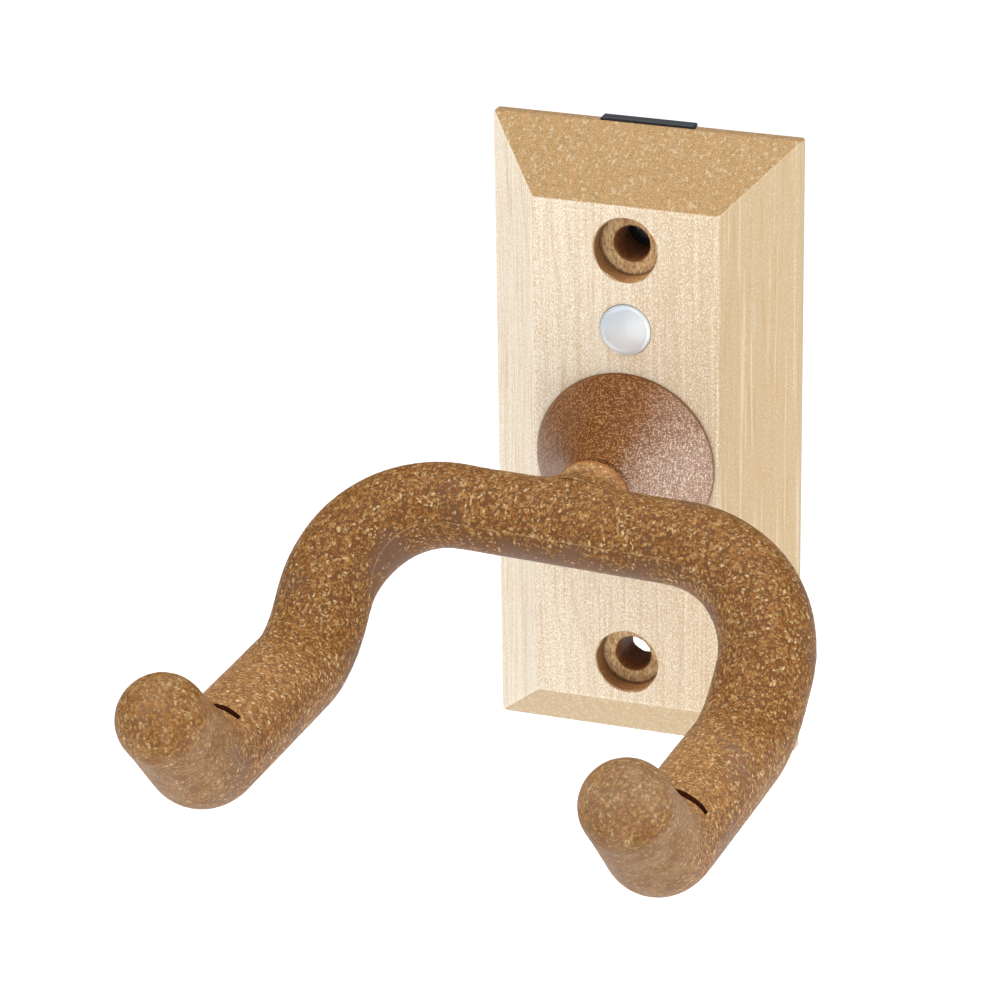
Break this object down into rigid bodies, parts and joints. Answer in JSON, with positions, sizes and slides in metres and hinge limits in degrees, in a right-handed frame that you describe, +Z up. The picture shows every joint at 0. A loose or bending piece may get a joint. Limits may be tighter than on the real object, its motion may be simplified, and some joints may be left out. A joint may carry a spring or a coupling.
{
  "type": "wall guitar hanger",
  "caption": "Chamfered maple wall plate with a moulded collar and a cork-rubber covered yoke that swivels about the collar and cradles a guitar's headstock.",
  "frame": {"origin": "on the wall, where the swivel axis meets it, level with the flat back of the steel strip", "axes": "+Y into the wall along the swivel axis, +Z up the wall, +X to the right seen from the front"},
  "size_m": [0.085, 0.1202, 0.104],
  "materials": {
    "maple": "fine sanded, matte lacquer",
    "strip_steel": "dark grey satin paint",
    "zinc_steel": "zinc plated",
    "badge_silver": "silver, clear domed",
    "collar_rubber": "satin moulded, fine flecks",
    "bush_bronze": "sintered bronze",
    "cork_rubber": "moulded cork granules in rubber, matte",
    "core_steel": "drawn steel bar",
    "washer_nylon": "black nylon",
    "clip_steel": "phosphated spring steel"
  },
  "bodies": {
    "wall_mount": {"wall_plate": "maple", "back_strip": "strip_steel", "strip_screw_upper": "zinc_steel", "strip_screw_lower": "zinc_steel", "badge": "badge_silver", "collar_cone": "collar_rubber", "spindle_bush": "bush_bronze"},
    "yoke": {"yoke_sleeve": "cork_rubber", "core_rod": "core_steel", "spindle": "core_steel", "thrust_washer": "washer_nylon", "flat_washer": "zinc_steel", "wave_washer": "zinc_steel", "retaining_clip": "clip_steel"}
  },
  "joints": [
    {"name": "yoke_swivel", "type": "hinge", "parent": "wall_mount", "child": "yoke", "pos_m": [0, 0, 0], "axis": [0, 1, 0], "continuous": true}
  ]
}
